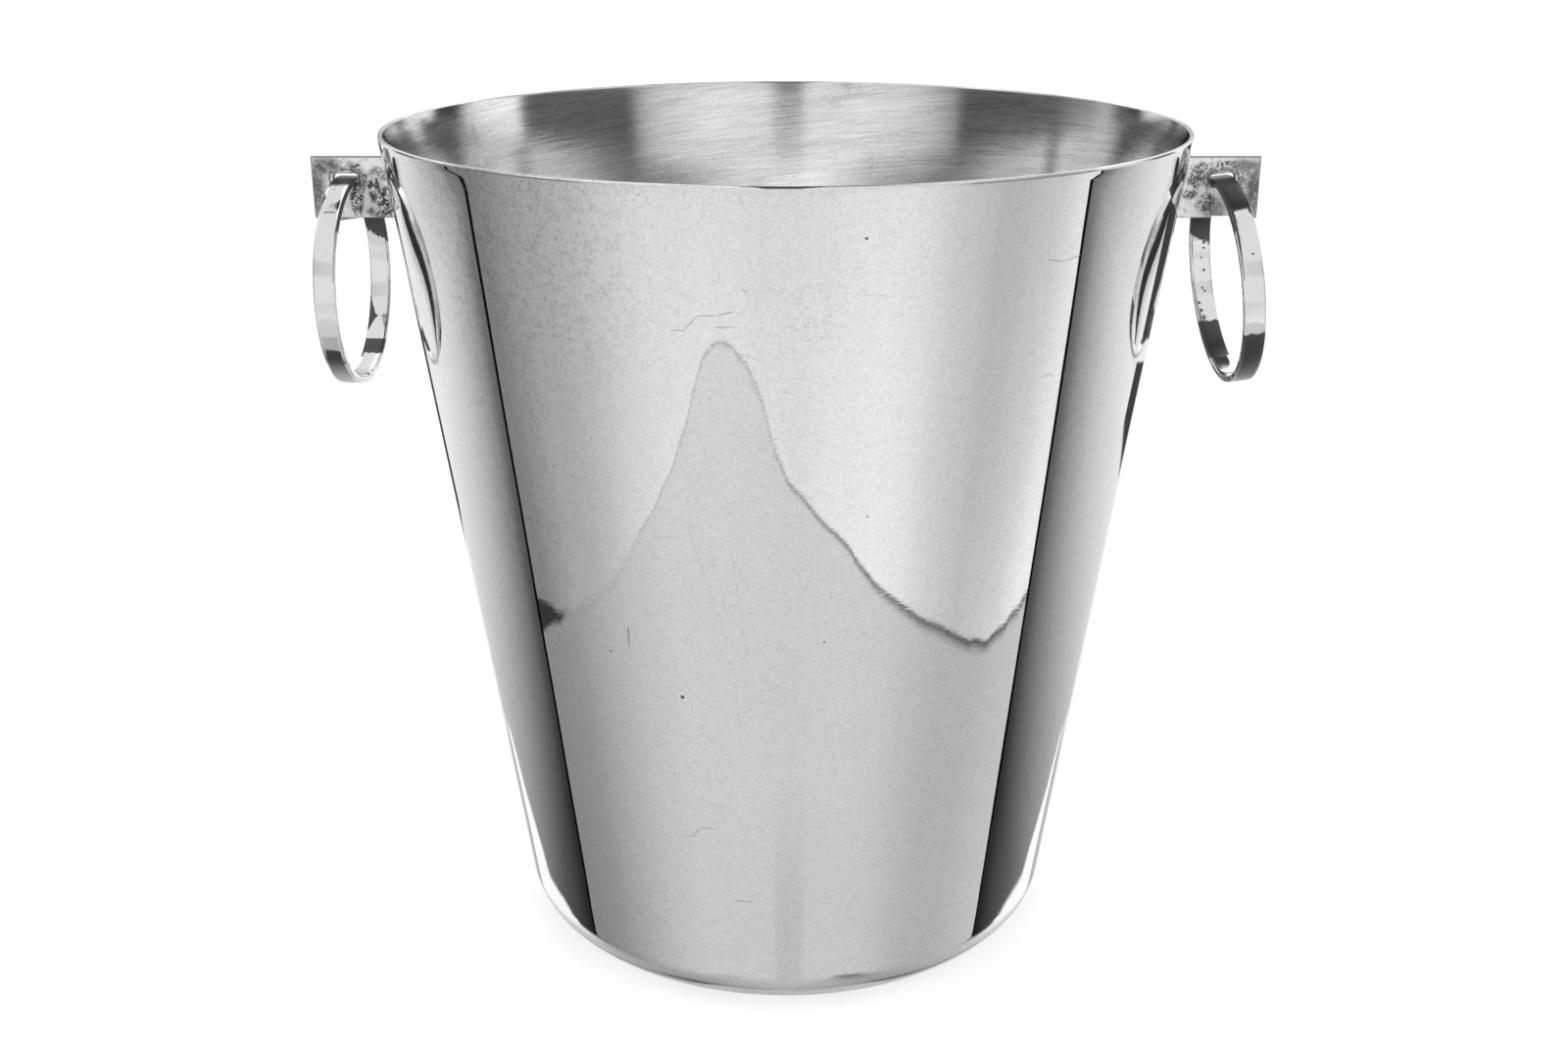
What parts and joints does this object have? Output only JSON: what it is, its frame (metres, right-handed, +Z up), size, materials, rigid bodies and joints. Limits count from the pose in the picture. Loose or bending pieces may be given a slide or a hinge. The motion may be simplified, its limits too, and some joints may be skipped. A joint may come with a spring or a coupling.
{
  "type": "champagne bucket",
  "caption": "Tapered metal bucket for chilling a bottle in ice, with flat-strip ring handles swinging in square lug plates under the rim.",
  "frame": {"origin": "centre of the underside, on the plane the bucket stands on", "axes": "+Z up the bucket's axis; +X through the right-hand lug plate, -X through the left-hand one; -Y towards the front"},
  "size_m": [0.2388, 0.1998, 0.212],
  "materials": {
    "bucket_silver": "polished silver plate with fine hairlines",
    "lug_silver": "silver plate mottled by heat and solder",
    "ring_silver": "polished silver plate",
    "silver_solder": "satin silver solder"
  },
  "bodies": {
    "bucket": {"bucket_body": "bucket_silver", "left_lug_plate": "lug_silver", "left_lug_solder": "silver_solder", "left_ring_keeper": "lug_silver", "right_lug_plate": "lug_silver", "right_lug_solder": "silver_solder", "right_ring_keeper": "lug_silver"},
    "left_ring": {"left_ring": "ring_silver"},
    "right_ring": {"right_ring": "ring_silver"}
  },
  "joints": [
    {"name": "left_ring_swing", "type": "hinge", "parent": "bucket", "child": "left_ring", "pos_m": [-0.11079, 0, 0.19615], "axis": [1, 0, -0.0087], "range_deg": [-28, 28]},
    {"name": "right_ring_swing", "type": "hinge", "parent": "bucket", "child": "right_ring", "pos_m": [0.11011, 0, 0.19615], "axis": [0.9921, 0, 0.1253], "range_deg": [-28, 28]}
  ]
}
